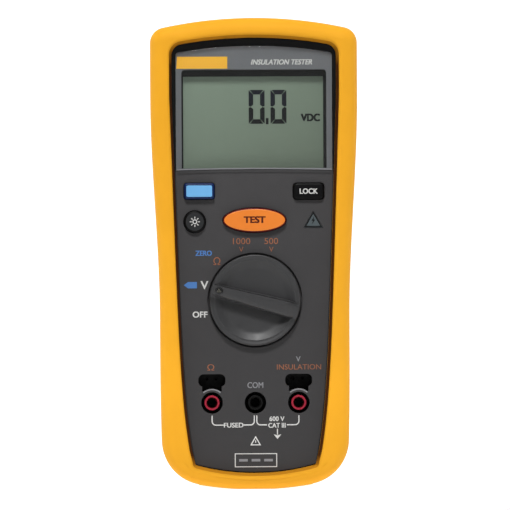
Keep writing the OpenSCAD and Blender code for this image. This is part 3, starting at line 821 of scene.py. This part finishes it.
def panel_printing():
    """Legends round the switch and the jacks."""
    white = Marks("legends_white", PANEL_Y)
    white.words("OFF", -24.1, 76.8, 6.6, 2.7, bold=0.1)
    white.words("V", -22.1, 89.7, 3.4, 3.6, bold=0.1)
    white.words("FUSED", -9.6, 28.2, 8.6, 2.1, bold=0.07)
    white.words("600 V", 9.4, 30.9, 6.6, 2.1, bold=0.07)
    white.words("CAT III", 9.4, 28.0, 7.6, 2.1, bold=0.07)
    # Brackets that join the jacks, each broken by its words
    low, high, bend = 28.25, 32.4, 1.6
    for side, gap in ((-1, (5.2, 13.9)), (1, (5.0, 13.7))):
        for end, inward, stop in ((0.55, 1, gap[0]), (JACK_PITCH, -1, gap[1])):
            turn = [(side * (end + inward * bend * (1 - math.cos(a))),
                     low + bend * (1 - math.sin(a)))
                    for a in (math.radians(t) for t in (0, 18, 36, 54, 72, 90))]
            white.stroke([(side * end, high)] + turn + [(side * stop, low)], 0.5)
    # Arrow, and a plain sign in a triangle
    white.stroke([(9.6, 26.5), (9.6, 23.9)], 0.45)
    white.polygon([(7.9, 24.1), (9.6, 22.0), (11.3, 24.1), (9.6, 23.6)])
    white.stroke([(-2.0, 19.5), (2.0, 19.5), (0, 23.0)], 0.45, closed=True)
    white.polygon([(-0.22, 20.4), (0.22, 20.4), (0.22, 21.5), (-0.22, 21.5)])
    # Plain box with three blank bars
    white.stroke([(-9.0, 9.9), (9.2, 9.9), (9.2, 15.6), (-9.0, 15.6)], 0.38, closed=True)
    white.finish(print_white, "meter", "white_print")

    grey = Marks("legends_grey", PANEL_Y)
    grey.words("COM", 0.0, 45.7, 7.0, 2.6, bold=0.06)
    grey.words("V", 18.9, 57.1, 2.0, 2.2, bold=0.05)
    for x in (-5.4, 0.1, 5.6):
        grey.polygon([(x - 1.9, 12.2), (x + 1.9, 12.2), (x + 1.9, 13.3), (x - 1.9, 13.3)])
    for side in (-1, 1):
        x = side * JACK_PITCH
        grey.stroke(arc(x, JACK_Z, 5.85, 50, 130, 16), 0.55)
    grey.finish(print_grey, "meter", "white_print")

    orange = Marks("legends_orange", PANEL_Y)
    orange.words("1000", -5.7, 108.9, 7.6, 2.7)
    orange.words("V", -5.9, 105.3, 1.9, 2.2)
    orange.words("500", 7.3, 108.9, 6.0, 2.7)
    orange.words("V", 7.3, 105.3, 1.9, 2.2)
    orange.words("Ω", -16.6, 100.2, 3.0, 3.4)
    orange.words("Ω", -19.5, 53.6, 3.0, 2.7)
    orange.words("INSULATION", 19.2, 53.6, 19.4, 2.3)
    orange.finish(print_orange, "meter", "white_print")

    blue = Marks("legends_blue", PANEL_Y)
    blue.words("ZERO", -22.4, 103.7, 7.2, 2.3, bold=0.09)
    blue.polygon([(-31.2, 89.7), (-29.3, 91.1), (-25.4, 91.1), (-25.4, 88.3), (-29.3, 88.3)])
    blue.finish(print_blue, "meter", "blue_rubber")

    sign = Marks("warning_sign", box_mm("warning_lens")[0][1], 0.03)
    sign.stroke([(22.35, 115.25), (29.25, 115.25), (25.8, 121.25)], 0.5, closed=True)
    sign.polygon([(26.2, 119.6), (25.0, 117.7), (25.7, 117.7), (25.1, 116.0), (26.6, 118.2),
                  (25.95, 118.2)])
    sign.finish(print_black, "meter", "black_plastic")

    # Strip over the display, printed behind the window
    strip_y = PANEL_Y - 0.27
    plate = Marks("name_plate_blank", strip_y, 0.03)
    plate.polygon([(-34.0, 184.6), (-11.6, 184.6), (-11.6, 189.9), (-33.6, 189.9)])
    plate.finish(print_amber, "meter", "amber_rubber")
    title = Marks("strip_title", strip_y, 0.03)
    title.words("INSULATION TESTER", 12.2, 187.45, 26.9, 2.3, shear=0.25, bold=0.09)
    title.finish(print_white, "meter", "white_print")


panel_printing()


def segments():
    """Reading on the display: 0.0 in seven-segment digits, and its unit."""
    face = box_mm("lcd_glass")[0][1]
    upper = Marks("reading_upper", face, 0.03)
    lower = Marks("reading_lower", face, 0.03)
    width, height, bar = 7.0, 14.9, 2.0
    z0 = 160.5
    slant, gap = 0.45, 0.07
    for x0 in (-2.2, 7.4):
        left, right, top, middle = x0, x0 + width, z0 + height, z0 + height / 2
        for marks, low, high, sign in ((lower, z0, middle, -1), (upper, middle, top, 1)):
            end = high if sign > 0 else low
            inner = end - sign * bar
            marks.polygon([(left + gap + slant, end), (right - gap - slant, end),
                           (right - bar, inner), (left + bar, inner)])
            near = middle + sign * gap
            for side, flip in ((left, 1), (right, -1)):
                marks.polygon([
                    (side, end - sign * (gap + slant)), (side + flip * gap, end - sign * gap),
                    (side + flip * (bar - gap * 0.3), inner - sign * gap),
                    (side + flip * bar, near + sign * bar * 0.45), (side + flip * bar * 0.45, near),
                    (side, near + sign * 0.3)])
    lower.polygon([(5.3, 160.3), (6.5, 160.3), (6.5, 163.0), (5.3, 163.0)])
    lower.words("VDC", 24.95, 163.2, 8.5, 3.4, bold=0.22)
    upper.finish(segment_navy, "meter", "lcd_glass")
    lower.finish(segment_look, "meter", "lcd_glass")


segments()


# ---------------------------------------------------------------- keys

def rounded_rect(x, z, width, height, radius, steps=8):
    """Rectangle with round corners, anticlockwise from its lower right."""
    half_w, half_h = width / 2 - radius, height / 2 - radius
    points = []
    for cx, cz, start in ((half_w, -half_h, -90), (half_w, half_h, 0), (-half_w, half_h, 90),
                          (-half_w, -half_h, 180)):
        points += arc(x + cx, z + cz, radius, start, start + 90, steps)
    return points


def oval(x, z, width, height, steps=72):
    """Ellipse, anticlockwise from its right."""
    return [(x + width / 2 * math.cos(a), z + height / 2 * math.sin(a))
            for a in (math.tau * i / steps for i in range(steps))]


def key(name, outline, proud, looks, body, slot, node, edge=0.7):
    """A key cap: outline(inset) gives its shape; the side looks[0], a darker copy in painted shade,
    turns into the top looks[1].
    """
    top = PANEL_Y - proud
    stations = [(-0.8, -15.3), (-0.8, -16.25), (0.0, -16.26), (0.0, top + 0.9), (0.06, top + 0.5),
                (0.25, top + 0.2), (0.5, top + 0.06), (edge, top), (edge + 0.5, top - 0.04),
                (edge + 1.2, top - 0.06)]
    rings = [at_depth(outline(inset), y) for inset, y in stations]
    # Side and shoulder rings take the painted shade, the top rings the key's own colour.
    ring_looks = [0, 0, 0, 0, 0, 0, 0, 1, 1]
    obj = loft(name, rings, looks, ring_looks, smooth_angle=50.0)
    return place(obj, body, slot, node)


def keys():
    """The four key caps and their marks."""
    def block(at, width, height, radius):
        return lambda inset: rounded_rect(
            *at, width - 2 * inset, height - 2 * inset, max(radius - inset * 0.6, 0.5))

    def dome(at, width, height):
        return lambda inset: oval(*at, width - 2 * inset, height - 2 * inset)

    low, high = 1.6, 2.0
    key("shift_key_cap", block(SHIFT_AT, 13.3, 7.0, 1.3), high, [key_blue, key_sky],
        "shift_key", "blue_rubber", "shift_button", 1.0)
    key("lock_key_cap", block(LOCK_AT, 13.5, 7.1, 1.7), low, [key_black, key_grey],
        "lock_key", "black_rubber", "lock_button", 0.8)
    key("backlight_key_cap", dome(LIGHT_AT, 9.5, 9.5), low, [key_black, key_smoke],
        "backlight_key", "black_rubber", "backlight_button", 0.8)
    key("test_key_cap", dome(TEST_AT, 27.8, 10.7), high, [key_rust_painted_shade, key_orange],
        "test_key", "orange_rubber", "test_button", 0.55)

    lock = Marks("lock_word", PANEL_Y - low - 0.04)
    lock.words("LOCK", *LOCK_AT, 8.0, 2.4, bold=0.1)
    lock.finish(print_white, "lock_key", "white_print")
    test = Marks("test_word", PANEL_Y - high - 0.04)
    test.words("TEST", TEST_AT[0], TEST_AT[1] + 0.2, 9.6, 3.0, bold=0.2)
    test.finish(print_brown, "test_key", "white_print")
    sun = Marks("backlight_sign", PANEL_Y - low - 0.04)
    sun.stroke(arc(*LIGHT_AT, 0.85, 0, 345, 23), 0.42, closed=True)
    for k in range(8):
        a = math.tau * k / 8
        sun.stroke([(LIGHT_AT[0] + r * math.cos(a), LIGHT_AT[1] + r * math.sin(a))
                    for r in (1.4, 2.2)], 0.42)
    sun.finish(print_white, "backlight_key", "white_print")


keys()


# ---------------------------------------------------------------- jacks

def jacks():
    """Insulating rings with a bright front face; on the red jacks the bore, the funnel's foot and
    the outer wall are painted shade, a darker red.
    """
    for x, node, looks, slot in (
            (-JACK_PITCH, "jack_insulator_left", [jack_red, jack_funnel_painted_shade], "red_plastic"),
            (0.0, "jack_insulator_com", [jack_black, block_look], "black_plastic"),
            (JACK_PITCH, "jack_insulator_right", [jack_red, jack_funnel_painted_shade], "red_plastic")):
        low, high = box_mm(node)
        front, back = low[1], high[1]
        profile = [(2.6, back), (2.6, front + 1.2), (2.0, front + 1.2), (2.0, front + 0.95),
                   (2.4, front + 0.2), (2.58, front), (3.12, front), (3.3, front + 0.18),
                   (3.3, back)]
        rings = [[(x + r * math.cos(a), y, JACK_Z + r * math.sin(a))
                  for a in (math.tau * i / 64 for i in range(64))] for r, y in profile]
        # On the red jacks the bore, the funnel's foot and the outer wall take the painted shade.
        ring = loft("ring_" + node, rings, looks, [1, 1, 1, 1, 0, 0, 0, 1, 1], closed=True)
        place(ring, "meter", slot, node)


jacks()


# ---------------------------------------------------------------- switch knob

def knob():
    """Dished knob with a tapered grip bar and a dimple at the pointer."""
    # Skirt, rim, a fine ridge, then the wall down to the dish
    profile = [(0, -18.1), (19.5, -18.1), (19.9, -18.3), (20.0, -18.7), (20.0, -21.6),
               (19.95, -22.1), (19.85, -22.4), (19.65, -22.57), (19.4, -22.6), (19.1, -22.52),
               (18.7, -22.38), (18.3, -22.26), (18.05, -22.2), (17.85, -22.22), (17.7, -22.24),
               (17.5, -22.16), (17.2, -22.0), (16.7, -21.72), (16.0, -21.34), (15.3, -20.96),
               (14.6, -20.64), (14.0, -20.46), (13.3, -20.38), (12.0, -20.35), (0, -20.34)]
    disc = lathe("switch_knob", profile, 0, KNOB_Z, [knob_look], steps=160)
    cut(disc, grip_bar(), "UNION")
    spot = 16.4
    x, z = spot * math.cos(POINTER), KNOB_Z + spot * math.sin(POINTER)
    dimple = [(0, -26.0), (1.85, -26.0), (1.75, -23.4), (1.55, -22.9), (0, -22.8)]
    cut(disc, lathe("dimple_tool", dimple, x, z, [knob_look], steps=32))
    place(disc, "switch", "case_plastic", "knob")
    well = Marks("pointer_well", -22.83, 0.04)
    well.polygon(arc(x, z, 1.5, 0, 350, 35))
    well.finish(surround_look, "switch", "black_plastic")
    mark = Marks("pointer_mark", -22.9, 0.12)
    mark.stroke([(x - 0.75, z - 0.5), (x + 0.75, z - 0.5), (x, z + 0.8)], 0.36, closed=True)
    mark.finish(pointer_look, "switch", "white_print", "knob_marker")


def grip_bar():
    """The bar, along the pointer's direction; its narrow end is the pointer."""
    # Across the bar: a narrow ledge, a groove, the crown, and a face that falls away below
    across = (-1.0, -0.98, -0.93, -0.91, -0.87, -0.83, -0.74, -0.5, -0.1, 0.25, 0.55, 0.78,
              0.92, 1.0)
    crown = (1.7, 0.7, 0.5, 0.75, 0.75, 0.35, 0.08, 0.0, 0.06, 0.18, 0.34, 0.6, 1.0, 1.7)
    root = 19.9
    rings = []
    steps = 36
    reach = KNOB_R - 0.5
    for i in range(steps + 1):
        u = reach * (2 * i / steps - 1)
        half = 3.5 - 0.95 * ease(0.5 + 0.6 * u / reach)
        fall = ease((abs(u) - reach * 0.70) / (reach * 0.30))
        top = 24.8 - 1.9 * fall
        ring = [(u, -half - 0.3, root)]
        ring += [(u, half * a, top - c) for a, c in zip(across, crown)]
        ring += [(u, half + 0.3, root)]
        rings.append(ring)
    c, s = math.cos(POINTER), math.sin(POINTER)
    rings = [[(u * c - v * s, -h, KNOB_Z + u * s + v * c) for u, v, h in ring] for ring in rings]
    return loft("grip_bar", rings, [knob_look])


knob()


# ---------------------------------------------------------------- carried-over CAD nodes

NODE_LOOKS = {
    "front_case": panel_look, "rear_case": case_look, "case_gasket": rubber_look,
    "case_screws": steel, "lcd_glass": lcd_look, "lcd_frame": recess_look,
    "backlight_panel": pale_look, "zebra_strips": rubber_look, "keypad_mat": rubber_look,
    "switch_rotor": pale_look, "rotor_wipers": brass, "detent_spring": steel,
    "input_block": block_look, "jack_sleeves": pin_look, "probe_socket_pins": pin_look,
    "warning_lens": smoke_look, "warning_led": jack_red, "main_board": board_look,
    "board_screws": steel, "transformer_core": ferrite_look, "transformer_winding": winding_look,
    "hv_capacitors": blue_sleeve, "relays": pale_look, "main_chips": block_look,
    "buzzer": block_look, "fuse_body": ceramic_look, "fuse_caps": steel, "fuse_clips": brass,
    "battery_cells": cell_look, "cell_terminals": steel, "battery_springs": steel,
    "battery_contact_plates": steel, "battery_door": case_look, "door_seal": rubber_look,
    "door_lock_left": steel, "door_lock_right": steel, "tilt_stand": case_look,
    "stand_pin": steel, "stand_foot_pads": rubber_look, "rating_label": label_look,
}
ROUNDED = {"front_case": 0.18, "rear_case": 0.3, "battery_door": 0.3, "tilt_stand": 0.5,
           "door_lock_left": 0.12, "door_lock_right": 0.12, "case_screws": 0.12}

for node, look in NODE_LOOKS.items():
    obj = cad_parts[node]
    obj.data.materials.clear()
    obj.data.materials.append(look.material)
    if node in ROUNDED:
        bevel(obj, ROUNDED[node])


# ---------------------------------------------------------------- stage, light and camera

def stage():
    """White sweep that dims in front of the object, with a wall at each side."""
    front, curve_start, curve, height = -3000.0, 2400.0, 500.0, 3000.0
    half, wall_x, wall_y = 4000.0, 3900.0, curve_start + curve
    profile = [(front, 0.0), (curve_start, 0.0)]
    profile += [(curve_start + curve * math.sin(a), curve - curve * math.cos(a))
                for a in (math.radians(t) for t in range(10, 91, 10))]
    profile += [(wall_y, height)]
    verts = [(x, y, z) for y, z in profile for x in (-half, half)]
    faces = [(2 * i, 2 * i + 1, 2 * i + 3, 2 * i + 2) for i in range(len(profile) - 1)]
    paper = Look("backdrop_paper", (0.42, 0.42, 0.42, 1.0), 0.9, Emission_Color=(1, 1, 1, 1))
    paper.mottle(400.0, 0.01)
    back = paper.along((0, 1, 0))
    glow = paper.nodes.new("ShaderNodeMath")
    glow.operation = "MULTIPLY"
    paper.links.new(paper.spread(back, 0.68, 0.98, -0.12, -0.02), glow.inputs[0])
    paper.links.new(paper.spread(back, 0.0, 1.0, -0.3, -0.12), glow.inputs[1])
    paper.links.new(glow.outputs[0], paper.shader.inputs["Emission Strength"])
    add_mesh("sweep", verts, faces, [paper])
    for side, x in (("left", -wall_x), ("right", wall_x)):
        wall = [(x, front, 0), (x, wall_y, 0), (x, wall_y, height), (x, front, height)]
        add_mesh("side_wall_" + side, wall, [(0, 1, 2, 3)], [paper])


def softbox(name, place_m, aim_m, size_m, watts):
    """A rectangular light that faces a point."""
    data = bpy.data.lights.new(name, "AREA")
    data.shape = "RECTANGLE"
    data.size, data.size_y = size_m
    data.energy = watts
    obj = bpy.data.objects.new(name, data)
    obj.location = place_m
    obj.rotation_euler = (Vector(aim_m) - Vector(place_m)).to_track_quat("-Z", "Y").to_euler()
    bpy.context.scene.collection.objects.link(obj)


def lighting():
    """A key light high in front, a weak fill and a dim surrounding."""
    middle = (0, 0, 0.1)
    softbox("key_light", (-0.14, -1.1, 1.7), middle, (0.45, 0.35), 31)
    softbox("fill_light", (0.3, -1.9, 0.5), middle, (1.2, 1.2), 0.8)
    world = bpy.data.worlds.new("studio")
    world.use_nodes = True
    background = world.node_tree.nodes["Background"]
    background.inputs["Color"].default_value = (1, 1, 1, 1)
    background.inputs["Strength"].default_value = 0.12
    bpy.context.scene.world = world
    bpy.context.scene.view_settings.view_transform = "Standard"


def camera():
    """Level, square to the panel and far off, so that the view is nearly parallel."""
    data = bpy.data.cameras.new("camera")
    distance, view_width, height = 1.6, 0.2231, 0.1028
    data.sensor_width = 36.0
    data.lens = data.sensor_width * distance / view_width
    obj = bpy.data.objects.new("camera", data)
    turn = math.radians(-1.6)
    obj.location = (distance * math.sin(turn), cad_low[1] - distance * math.cos(turn), height)
    obj.rotation_euler = (math.radians(90), math.radians(0.3), turn)
    bpy.context.scene.collection.objects.link(obj)
    bpy.context.scene.camera = obj


stage()
lighting()
camera()
